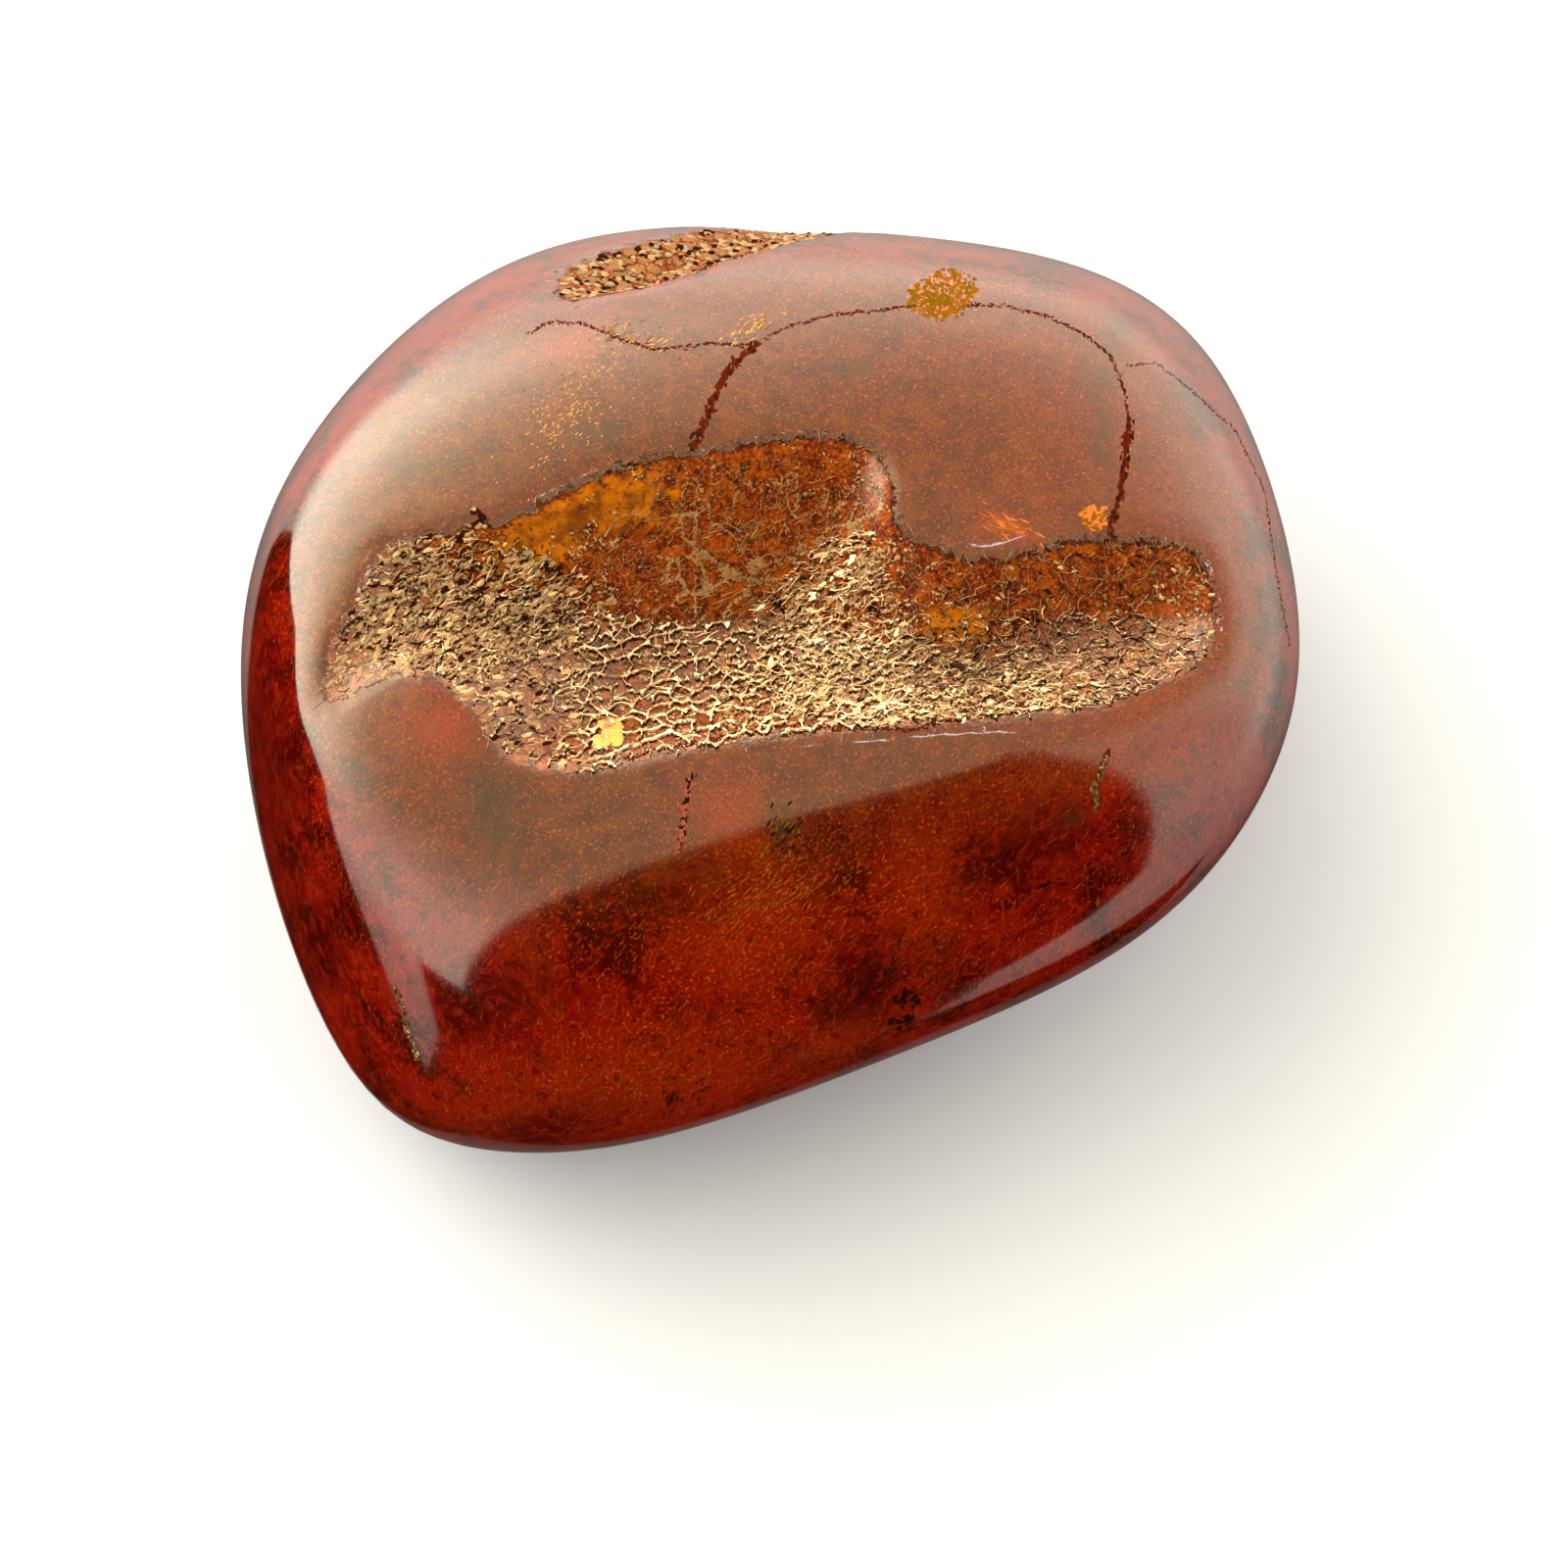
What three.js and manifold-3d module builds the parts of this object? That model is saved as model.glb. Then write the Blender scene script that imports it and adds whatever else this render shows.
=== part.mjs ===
// Amber stone: a palm-sized nugget of natural amber, ground and polished by hand to a soft-cornered pebble.
// It is one solid. The polisher left the natural skin in a hollow across the top and on a ledge at the back,
// and the stone rests on a small flat of its underside.

import * as THREE from 'three';
import { mergeVertices } from 'three/addons/utils/BufferGeometryUtils.js';
import Module from 'manifold-3d';

// Driving dimensions, in millimetres and degrees.

// The polished faces: the way each one looks, and how far it is from the middle of the stone.
// Azimuth 0 is the front, -Y, and a positive azimuth turns towards +X.
const POLISHED_FACES = [
  { name: 'crown', azimuth: 20, elevation: 84, distance: 12.6 },
  { name: 'brow', azimuth: 12, elevation: 55, distance: 16.4 },
  { name: 'front', azimuth: 24, elevation: 27, distance: 20 },
  { name: 'front left', azimuth: -35, elevation: 17, distance: 27 },
  { name: 'left', azimuth: -80, elevation: 14, distance: 28.8 },
  { name: 'back left', azimuth: -129, elevation: 24, distance: 27.8 },
  { name: 'back', azimuth: 172, elevation: 34, distance: 25.2 },
  { name: 'crown back', azimuth: -172, elevation: 64, distance: 19.2 },
  { name: 'crown right', azimuth: 96, elevation: 62, distance: 22.8 },
  { name: 'right', azimuth: 112, elevation: 22, distance: 29 },
  { name: 'right front', azimuth: 61, elevation: 18, distance: 30.2 },
  { name: 'underside', azimuth: 0, elevation: -90, distance: 15 },
  { name: 'under front', azimuth: 22, elevation: -37, distance: 19.2 },
  { name: 'under back', azimuth: 178, elevation: -38, distance: 23.4 },
  { name: 'under left', azimuth: -89, elevation: -39, distance: 27.8 },
  { name: 'under right', azimuth: 82, elevation: -38, distance: 21.4 },
];
// How tightly the polish rounds the faces into each other: higher is tighter.
const FACE_TIGHTNESS = 7.2;
// The flat that the stone rests on lies this far above the lowest point that the round underside would have.
const BASE_FLAT = 0.4;

// The rim of the hollow in plan, from the left tip along the back and round to the front lip: x, y, and how
// steeply the wall drops there, in millimetres down for each millimetre in.
const HOLLOW_RIM = [
  [-23.3, -7.3, 0.5], [-22.8, -3.6, 0.6], [-21.4, -0.8, 0.6], [-19.9, 2, 0.6], [-16.6, 2.6, 0.58],
  [-13.4, 3.4, 0.6], [-10.8, 4.8, 0.62], [-7.5, 6.3, 0.64], [-3.5, 7, 0.66], [0.8, 7.8, 0.7],
  [4.1, 7.4, 0.95], [5.4, 5.8, 1.4], [5.6, 3, 1.1], [9, 1.5, 0.62], [12.4, 1.9, 0.6], [14.6, 2.8, 0.6],
  [18.8, 3.1, 0.6], [21.6, 2.6, 0.7], [22.4, -0.2, 0.8], [22.2, -3, 0.7], [19, -5.4, 0.6], [15.9, -6.5, 0.7],
  [9, -7, 1.2], [1.7, -7.7, 1.3], [-3.9, -8.6, 1.2], [-10.7, -10.1, 0.9], [-14, -9.3, 0.8],
  [-14.8, -7.8, 0.7], [-17.5, -5.5, 0.6], [-19.7, -5.6, 0.5], [-21.8, -6.6, 0.5],
];
const HOLLOW_DEPTH = 5.2;
const HOLLOW_RIM_STEPS = 240;
// The floor of the hollow is uneven: its pits, and how far apart they lie.
const PIT_DEPTH = 0.1;
const PIT_SPACING = 6.5;
// Polishing and age have worn the rim round over this reach, which is sampled on a ring.
const WEAR_REACH = 0.8;
const WEAR_SAMPLES = 8;

// The ledge at the back: its crest line in plan, and the step that drops behind the crest and runs out again.
const LEDGE_CREST = [[-12, 15.8], [-9, 17.3], [-5.5, 18.5], [-2, 20.6], [2.7, 23.4], [7, 26]];
const LEDGE_DEPTH = 2;
const LEDGE_DROP_WIDTH = 1.6;
const LEDGE_RUN_OUT = 6.5;
const LEDGE_CREST_STEPS = 60;
// The parts of the crest's length, at its left and right ends, over which the ledge fades out.
const LEDGE_FADE_LEFT = 0.3;
const LEDGE_FADE_RIGHT = 0.5;

// How finely the skin is faceted: the ball that is pulled to the stone's form, its flattened shape, and how far
// its facets are crowded towards the crown.
const BALL_DETAIL = 20;
const BALL_FLATTENING = 0.55;
const BALL_CROWDING = 0.45;

const AMBER = new THREE.MeshStandardMaterial({ color: '#6e2208', roughness: 0.12, metalness: 0 });

const wasm = await Module();
wasm.setup();

const faces = POLISHED_FACES.map(({ azimuth, elevation, distance }) => {
  const turn = THREE.MathUtils.degToRad(azimuth);
  const rise = THREE.MathUtils.degToRad(elevation);
  const normal = new THREE.Vector3(
    Math.sin(turn) * Math.cos(rise),
    -Math.cos(turn) * Math.cos(rise),
    Math.sin(rise),
  );
  return { normal, distance };
});

// The polished skin is a soft blend of all the faces: its distance from the middle in one direction.
function polishedRadius(direction) {
  let sum = 0;
  for (const { normal, distance } of faces) {
    sum += Math.max(0, normal.dot(direction) / distance) ** FACE_TIGHTNESS;
  }
  return sum ** (-1 / FACE_TIGHTNESS);
}

// A smooth closed or open line through hand-placed points. Their third number, where they have one, is blended too.
function smoothLine(points, closed, steps) {
  const corners = points.map(([x, y, z = 0]) => new THREE.Vector3(x, y, z));
  return new THREE.CatmullRomCurve3(corners, closed, 'centripetal').getSpacedPoints(steps);
}

const rim = smoothLine(HOLLOW_RIM, true, HOLLOW_RIM_STEPS).slice(0, -1);

function insideRim(x, y) {
  let inside = false;
  for (let i = 0; i < rim.length; i += 1) {
    const a = rim[i];
    const b = rim[(i + 1) % rim.length];
    if (a.y > y !== b.y > y && x < a.x + ((b.x - a.x) * (y - a.y)) / (b.y - a.y)) inside = !inside;
  }
  return inside;
}

// How far the fresh hollow lies under the polished skin at a point of the plan.
function freshHollowDepth(x, y) {
  if (!insideRim(x, y)) return 0;
  let depth = HOLLOW_DEPTH;
  for (const point of rim) {
    depth = Math.min(depth, point.z * Math.hypot(x - point.x, y - point.y));
  }
  const wave = (2 * Math.PI) / PIT_SPACING;
  const pits = Math.sin(wave * x + Math.sin(wave * y / 2)) * Math.sin(wave * y + Math.sin(wave * x / 2));
  return depth + (PIT_DEPTH * pits * depth) / HOLLOW_DEPTH;
}

// The worn hollow is the fresh one averaged with a ring around each point.
function hollowDepth(x, y) {
  let sum = freshHollowDepth(x, y);
  for (let i = 0; i < WEAR_SAMPLES; i += 1) {
    const turn = (2 * Math.PI * i) / WEAR_SAMPLES;
    sum += freshHollowDepth(x + WEAR_REACH * Math.cos(turn), y + WEAR_REACH * Math.sin(turn));
  }
  return sum / (WEAR_SAMPLES + 1);
}

const crest = smoothLine(LEDGE_CREST, false, LEDGE_CREST_STEPS);

// How far the ledge lies under the polished skin: nothing in front of its crest, a quick drop behind it, and a
// long run out. It fades at both ends of the crest.
function ledgeDepth(x, y) {
  let nearest = 0;
  let gap = Infinity;
  crest.forEach((point, i) => {
    const reach = Math.hypot(x - point.x, y - point.y);
    if (reach < gap) {
      gap = reach;
      nearest = i;
    }
  });
  if (nearest === 0 || nearest === LEDGE_CREST_STEPS) return 0;
  const along = crest[nearest + 1].clone().sub(crest[nearest - 1]);
  const behind = along.x * (y - crest[nearest].y) - along.y * (x - crest[nearest].x) > 0;
  if (!behind || gap > LEDGE_RUN_OUT) return 0;
  const share = nearest / LEDGE_CREST_STEPS;
  const fadeLeft = THREE.MathUtils.smoothstep(share, 0, LEDGE_FADE_LEFT);
  const fadeRight = THREE.MathUtils.smoothstep(1 - share, 0, LEDGE_FADE_RIGHT);
  const drop = THREE.MathUtils.smoothstep(gap, 0, LEDGE_DROP_WIDTH);
  const runOut = 1 - THREE.MathUtils.smoothstep(gap, LEDGE_DROP_WIDTH, LEDGE_RUN_OUT);
  return LEDGE_DEPTH * fadeLeft * fadeRight * drop * runOut;
}

// The ball's facets are pulled out to the polished skin, and lowered where the natural skin was left.
function skin() {
  const ball = new THREE.IcosahedronGeometry(1, BALL_DETAIL);
  ball.deleteAttribute('normal');
  ball.deleteAttribute('uv');
  const merged = mergeVertices(ball);
  const position = merged.attributes.position;
  const point = new THREE.Vector3();
  for (let i = 0; i < position.count; i += 1) {
    point.fromBufferAttribute(position, i);
    point.z = (point.z + BALL_CROWDING) * BALL_FLATTENING;
    point.normalize();
    point.multiplyScalar(polishedRadius(point));
    if (point.z > 0) {
      point.z -= hollowDepth(point.x, point.y) + ledgeDepth(point.x, point.y);
    }
    position.setXYZ(i, point.x, point.y, point.z);
  }
  return merged;
}

function solidOf(geometry) {
  return new wasm.Manifold(new wasm.Mesh({
    numProp: 3,
    vertProperties: new Float32Array(geometry.attributes.position.array),
    triVerts: new Uint32Array(geometry.index.array),
  }));
}

function geometryOf(solid) {
  const mesh = solid.getMesh();
  const geometry = new THREE.BufferGeometry();
  geometry.setAttribute('position', new THREE.BufferAttribute(mesh.vertProperties, 3));
  geometry.setIndex(new THREE.BufferAttribute(mesh.triVerts, 1));
  return geometry;
}

// The underside is ground off flat, and the stone is stood on that flat with its box centred over the origin.
function stoneGeometry() {
  const round = skin();
  round.computeBoundingBox();
  const { min, max } = round.boundingBox;
  const width = 2 * (max.x - min.x);
  const base = min.z + BASE_FLAT;
  const grinding = new THREE.BoxGeometry(width, width, width);
  grinding.translate(0, 0, base - width / 2);
  grinding.deleteAttribute('normal');
  grinding.deleteAttribute('uv');
  const stone = geometryOf(solidOf(round).subtract(solidOf(mergeVertices(grinding))));
  stone.translate(-(min.x + max.x) / 2, -(min.y + max.y) / 2, -base);
  stone.computeVertexNormals();
  return stone;
}

const stone = new THREE.Mesh(stoneGeometry(), AMBER);
stone.name = 'stone';

const group = new THREE.Group();
group.add(stone);

export default group;
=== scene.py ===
import bisect
import itertools
import math
import random

import bmesh
import bpy
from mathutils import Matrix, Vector, noise
from mathutils.bvhtree import BVHTree
from mathutils.geometry import delaunay_2d_cdt


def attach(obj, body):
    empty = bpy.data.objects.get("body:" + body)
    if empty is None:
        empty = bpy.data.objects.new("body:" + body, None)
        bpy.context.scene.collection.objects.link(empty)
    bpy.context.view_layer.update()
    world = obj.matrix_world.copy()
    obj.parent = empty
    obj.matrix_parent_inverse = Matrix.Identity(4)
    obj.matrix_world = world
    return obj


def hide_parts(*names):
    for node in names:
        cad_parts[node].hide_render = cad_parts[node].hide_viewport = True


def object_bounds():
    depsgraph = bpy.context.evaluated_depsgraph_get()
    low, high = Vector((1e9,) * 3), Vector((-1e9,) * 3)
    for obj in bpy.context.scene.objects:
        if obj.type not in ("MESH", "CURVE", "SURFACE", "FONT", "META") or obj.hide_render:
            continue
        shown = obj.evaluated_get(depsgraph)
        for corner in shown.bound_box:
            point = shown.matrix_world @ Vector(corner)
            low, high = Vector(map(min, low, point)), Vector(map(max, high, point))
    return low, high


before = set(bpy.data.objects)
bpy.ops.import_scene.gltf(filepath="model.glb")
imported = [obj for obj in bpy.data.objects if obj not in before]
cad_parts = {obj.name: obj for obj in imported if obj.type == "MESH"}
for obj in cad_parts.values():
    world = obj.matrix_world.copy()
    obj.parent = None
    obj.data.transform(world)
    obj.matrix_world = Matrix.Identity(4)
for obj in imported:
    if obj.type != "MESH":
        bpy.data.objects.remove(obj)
cad_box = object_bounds()

# The camera stands where the photograph was taken: in front of the stone, high up and looking down on its
# crown. The middle of the stone's polished faces is seen a little above the middle of the picture.
MM = 0.001
PHOTO_SIDE = 1600
PIXELS_PER_METRE = 19200
CAMERA_DISTANCE = 0.210
CAMERA_ELEVATION = math.radians(64)
SENSOR_WIDTH = 36
CLIP_NEAR = 0.01
CLIP_FAR = 20
STONE_MIDDLE = Vector((0.76 * MM, -1.37 * MM, 14.59 * MM))
STONE_MIDDLE_PIXEL = (795, 701)

towards_camera = Vector((0, -math.cos(CAMERA_ELEVATION), math.sin(CAMERA_ELEVATION)))
picture_right = Vector((1, 0, 0))
picture_up = Vector((0, math.sin(CAMERA_ELEVATION), math.cos(CAMERA_ELEVATION)))
camera_place = STONE_MIDDLE + CAMERA_DISTANCE * towards_camera


def ray_through(pixel):
    """The way the camera looks at a pixel of the photograph."""
    right = (pixel[0] - STONE_MIDDLE_PIXEL[0]) / PIXELS_PER_METRE
    down = (pixel[1] - STONE_MIDDLE_PIXEL[1]) / PIXELS_PER_METRE
    aim = STONE_MIDDLE + picture_right * right - picture_up * down
    return (aim - camera_place).normalized()


def pixel_of(place):
    """The pixel of the photograph at which the camera sees a place."""
    offset = place - camera_place
    scale = CAMERA_DISTANCE / -offset.dot(towards_camera) * PIXELS_PER_METRE
    right = offset.dot(picture_right) * scale
    up = offset.dot(picture_up) * scale
    return (STONE_MIDDLE_PIXEL[0] + right, STONE_MIDDLE_PIXEL[1] - up)


bpy.ops.object.select_all(action="DESELECT")
view = ray_through((PHOTO_SIDE / 2, PHOTO_SIDE / 2))
bpy.ops.object.camera_add(location=camera_place, rotation=view.to_track_quat("-Z", "Y").to_euler())
camera = bpy.context.object
camera.name = "photo_camera"
camera.data.sensor_width = SENSOR_WIDTH
camera.data.lens = SENSOR_WIDTH * PIXELS_PER_METRE * CAMERA_DISTANCE / PHOTO_SIDE
camera.data.clip_start = CLIP_NEAR
camera.data.clip_end = CLIP_FAR
bpy.context.scene.camera = camera

# The stone: one nugget of natural amber, ground and polished by hand. It starts from the solid's own
# facets, which are rounded and made finer, most of all where the natural skin was left in the hollow and on
# the ledge.
MERGE_REACH = 0.001 * MM
NATURAL_CUTS = 3
NATURAL_LOWEST = 14 * MM
NATURAL_FROM = 0.03 * MM
NATURAL_TO = 0.26 * MM

stone = bpy.data.objects.new("amber_stone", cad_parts["stone"].data.copy())
bpy.context.scene.collection.objects.link(stone)
bpy.ops.object.select_all(action="DESELECT")
stone.select_set(True)
bpy.context.view_layer.objects.active = stone
bpy.ops.mesh.customdata_custom_splitnormals_clear()
bpy.ops.object.mode_set(mode="EDIT")
bpy.ops.mesh.select_all(action="SELECT")
bpy.ops.mesh.remove_doubles(threshold=MERGE_REACH)
bpy.ops.mesh.subdivide(number_cuts=1, smoothness=1.0)
bpy.ops.mesh.select_mode(type="FACE")
bpy.ops.mesh.select_all(action="DESELECT")
bpy.ops.object.mode_set(mode="OBJECT")


def keep_in_box(piece):
    """Sets the points that rounding has swelled out of the solid's box back into it."""
    lowest, highest = cad_box
    for vertex in piece.data.vertices:
        vertex.co = [max(lowest[i], min(highest[i], vertex.co[i])) for i in range(3)]


def hull_tree(piece):
    """A search tree of the piece's convex hull, which closes over the hollow and the ledge."""
    shape = bmesh.new()
    shape.from_mesh(piece.data)
    parts = bmesh.ops.convex_hull(shape, input=shape.verts)
    left_over = parts["geom_interior"] + parts["geom_unused"]
    inner = {item for item in left_over if isinstance(item, bmesh.types.BMVert)}
    bmesh.ops.delete(shape, geom=list(inner), context="VERTS")
    bmesh.ops.triangulate(shape, faces=shape.faces)
    tree = BVHTree.FromBMesh(shape)
    shape.free()
    return tree


keep_in_box(stone)
hull = hull_tree(stone)


def natural_share(place):
    """How natural the skin is at a place: 0 on the polish, 1 where the skin lies well under the hull."""
    if place.z < NATURAL_LOWEST:
        return 0
    share = (hull.find_nearest(place)[3] - NATURAL_FROM) / (NATURAL_TO - NATURAL_FROM)
    share = max(0, min(1, share))
    return share * share * (3 - 2 * share)


skin_shares = [natural_share(vertex.co) for vertex in stone.data.vertices]
for face in stone.data.polygons:
    face.select = max(skin_shares[corner] for corner in face.vertices) > 0
bpy.ops.object.mode_set(mode="EDIT")
bpy.ops.mesh.subdivide(number_cuts=NATURAL_CUTS, smoothness=1.0)
bpy.ops.mesh.select_all(action="SELECT")
bpy.ops.mesh.quads_convert_to_tris()
bpy.ops.object.mode_set(mode="OBJECT")
bpy.ops.object.shade_smooth()
keep_in_box(stone)

# Soft spots of colour in the amber, as the camera sees them: pixel, half width, half height, and lean.
# The golden spots are a painted glow of light shining through the thin back wall of the hollow.
GOLDEN_SPOTS = [(555, 550, 66, 34, 22), (635, 512, 60, 30, 20), (975, 640, 40, 26, 0)]
# The glow spots are a painted glow: warmer amber where light lights it up from inside.
GLOW_SPOTS = [(640, 1100, 200, 56, 14), (770, 960, 80, 60, 0), (940, 930, 45, 80, -20),
              (860, 1060, 90, 24, 24), (590, 350, 40, 20, 20), (455, 740, 50, 36, 0),
              (1180, 1000, 60, 20, 30), (745, 828, 40, 42, -8), (1030, 540, 36, 14, -18),
              (1190, 775, 60, 46, 20)]
DARK_SPOTS = [(425, 477, 26, 12, 0), (505, 830, 24, 50, 10), (870, 376, 26, 8, 10), (800, 842, 16, 26, 20),
              (1140, 342, 20, 24, -30), (1120, 395, 14, 26, 0), (1124, 450, 9, 40, 5),
              (640, 335, 30, 7, 20), (610, 440, 22, 14, 0), (1092, 833, 12, 10, 0)]
DEEP_SPOTS = [(500, 1020, 80, 44, 12), (1050, 860, 90, 46, 20), (890, 1000, 46, 60, -20),
              (690, 905, 60, 24, 15), (560, 1150, 70, 20, 10), (280, 760, 34, 160, 4),
              (330, 960, 30, 60, -15)]
RING_SPOTS = [(760, 550, 150, 80, 10), (1090, 585, 180, 40, 0)]
GLAZE_SPOTS = [(893, 492, 12, 42, -4), (1205, 650, 30, 20, 0)]

# Only the floor of the hollow is glazed, below this line in the photograph. Its back wall is matt.
GLAZE_LINE = [(300, 500), (424, 547), (478, 598), (587, 624), (650, 643), (800, 627), (906, 665),
              (1012, 662), (1078, 635), (1237, 632), (1300, 632)]
GLAZE_FADE = 14


def glaze_strength(pixel):
    """How glazed the natural skin is at a pixel, from 0 to 1."""
    for (ax, ay), (bx, by) in zip(GLAZE_LINE, GLAZE_LINE[1:]):
        if ax <= pixel[0] < bx:
            below = pixel[1] - ay - (by - ay) * (pixel[0] - ax) / (bx - ax)
            return max(0, min(1, 0.5 + below / (2 * GLAZE_FADE)))
    return 0


def leaning(right, down, lean):
    """A step of pixels to the right and down, as its parts along and across a lean in degrees."""
    turn = math.radians(lean)
    along = right * math.cos(turn) - down * math.sin(turn)
    across = right * math.sin(turn) + down * math.cos(turn)
    return along, across


def spot_strength(spots, pixel):
    """How strongly a pixel is marked by the nearest of some soft oval spots, from 0 to 1."""
    strongest = 0
    for x, y, half_width, half_height, lean in spots:
        along, across = leaning(pixel[0] - x, pixel[1] - y, lean)
        along /= half_width
        across /= half_height
        strongest = max(strongest, math.exp(-along * along - across * across))
    return strongest


def mark_stone(name, strength_at):
    """Gives the stone an attribute with one strength for each vertex."""
    attribute = stone.data.attributes.new(name, "FLOAT", "POINT")
    attribute.data.foreach_set("value", [strength_at(vertex) for vertex in stone.data.vertices])


def spots_seen(spots):
    """The strength of some spots at a vertex, which is nothing on the side that the camera doesn't see."""
    def strength_at(vertex):
        facing = vertex.normal.dot(towards_camera) > 0
        return spot_strength(spots, pixel_of(vertex.co)) if facing else 0
    return strength_at


# The film of crust on the natural skin is a lace: dense in some parts of the hollow, thin in others. Each
# zone has the spots that it covers, the width of its cells in pixels, how flat they are, their lean, how
# thick the lace is, and how unevenly that changes. The noise that warps the cells is seeded.
LACE_ZONES = [
    ([(600, 690, 110, 60, 0), (700, 712, 130, 50, 10), (790, 690, 100, 60, 10)], 13, 0.55, 15, 0.03, 1.3),
    ([(850, 590, 46, 76, -12), (850, 690, 120, 48, 15), (970, 718, 140, 32, 8)], 15, 0.6, 24, 0.06, 1.3),
    ([(410, 605, 70, 56, 30), (480, 630, 100, 52, 15)], 16, 0.5, 32, 0.10, 1.3),
    ([(1100, 695, 140, 38, 8), (1210, 640, 50, 70, 0)], 16, 0.6, 10, 0.03, 1.3),
    ([(785, 560, 125, 80, 10)], 44, 0.85, 10, 0.035, 0.5),
    ([(1090, 590, 180, 48, 0)], 30, 0.8, -30, 0.015, 0.6),
]
LACE_FAINTEST = 0.05
LACE_PATCHES = 0.4
LACE_WAVES = 0.9
LACE_WARP = 0.5
LACE_EDGE = 0.06
LACE_HEIGHT = 0.05 * MM
LACE_SEED = 1795629002
noise.seed_set(LACE_SEED)


def lace_strength(pixel):
    """How much crust there is at a pixel: 1 on the walls of the lace, 0 in its cells."""
    strongest = 0
    for level, (spots, cell, flatness, lean, thickness, unevenness) in enumerate(LACE_ZONES):
        presence = spot_strength(spots, pixel)
        if presence < LACE_FAINTEST:
            continue
        along, across = leaning(*pixel, lean)
        point = Vector((along / cell, across / (cell * flatness), 10 * level))
        patch = 0.5 + unevenness * noise.noise(point * LACE_PATCHES)
        point += noise.noise_vector(point * LACE_WAVES) * LACE_WARP
        near, far = noise.voronoi(point)[0][:2]
        thick = thickness * min(1, 1.6 * presence) * max(0.1, 2 * patch)
        strongest = max(strongest, min(1, 0.5 + (thick - (far - near)) / LACE_EDGE))
    return strongest


# The crust on the ledge lies in lumps with dark lines between them. The ledge is all of the natural skin
# behind this line.
LEDGE_FROM = 12 * MM
LUMP_WIDTH = 0.9 * MM
LUMP_EDGE = 0.25


def crust_strength(place):
    """How much crust there is at a place on the natural skin."""
    if place.y < LEDGE_FROM:
        return lace_strength(pixel_of(place))
    near, far = noise.voronoi(place / LUMP_WIDTH)[0][:2]
    return min(1, (far - near) / LUMP_EDGE)


rings_seen = spots_seen(RING_SPOTS)
mark_stone("natural", lambda vertex: natural_share(vertex.co))
mark_stone("crown", lambda vertex: vertex.normal.z)
mark_stone("golden", spots_seen(GOLDEN_SPOTS))
mark_stone("glow", spots_seen(GLOW_SPOTS))
mark_stone("dark", spots_seen(DARK_SPOTS))
mark_stone("deep", spots_seen(DEEP_SPOTS))
mark_stone("ring", lambda vertex: rings_seen(vertex) if vertex.co.y < LEDGE_FROM else 1)
mark_stone("glaze", lambda vertex: max(glaze_strength(pixel_of(vertex.co)),
                                       spot_strength(GLAZE_SPOTS, pixel_of(vertex.co))))
mark_stone("lace", lambda vertex: natural_share(vertex.co) and crust_strength(vertex.co))
lace_marks = stone.data.attributes["lace"].data
raised = [vertex.co + vertex.normal * mark.value * LACE_HEIGHT
          for vertex, mark in zip(stone.data.vertices, lace_marks)]
stone.data.vertices.foreach_set("co", list(itertools.chain.from_iterable(raised)))
keep_in_box(stone)


def add_node(tree, kind, inputs, **settings):
    """A shader node with its settings and inputs: an input is linked when it is a socket, and else set."""
    made = tree.nodes.new(kind)
    for name, value in settings.items():
        setattr(made, name, value)
    for socket, value in inputs.items():
        if isinstance(value, bpy.types.NodeSocket):
            tree.links.new(value, made.inputs[socket])
        else:
            made.inputs[socket].default_value = value
    return made


def calculate(tree, operation, first, second):
    """A sum, product or the like of two values."""
    return add_node(tree, "ShaderNodeMath", {0: first, 1: second}, operation=operation).outputs[0]


def times(tree, first, second):
    """The product of two values."""
    return calculate(tree, "MULTIPLY", first, second)


def spread(tree, value, low, high, to_low=0.0, to_high=1.0):
    """A value between low and high, eased to lie between two others."""
    inputs = {"Value": value, "From Min": low, "From Max": high, "To Min": to_low, "To Max": to_high}
    return add_node(tree, "ShaderNodeMapRange", inputs, interpolation_type="SMOOTHSTEP").outputs["Result"]


def blend_colours(tree, share, first, second):
    """The first colour, giving way to the second by a share."""
    inputs = {"Factor": share, 6: first, 7: second}
    return add_node(tree, "ShaderNodeMix", inputs, data_type="RGBA").outputs[2]


def overlay(tree, colour, *layers):
    """A colour under layers of others, each with the share that it covers."""
    for share, tint in layers:
        colour = blend_colours(tree, share, colour, tint)
    return colour


def mottle(tree, place, size, detail=3.0):
    """Cloudy noise whose patches are about a size across."""
    inputs = {"Vector": place, "Scale": 1 / size, "Detail": detail, "Roughness": 0.6}
    return add_node(tree, "ShaderNodeTexNoise", inputs).outputs["Fac"]


def streaks(tree, place, turn, width, length):
    """Noise drawn out into fine streaks, with the turn in degrees that lays them along."""
    angles = [math.radians(angle) for angle in turn]
    inputs = {"Vector": place, "Rotation": angles, "Scale": (length / width, 1, 1)}
    drawn = add_node(tree, "ShaderNodeMapping", inputs, vector_type="TEXTURE")
    return mottle(tree, drawn.outputs["Vector"], width, 1.5)


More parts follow.
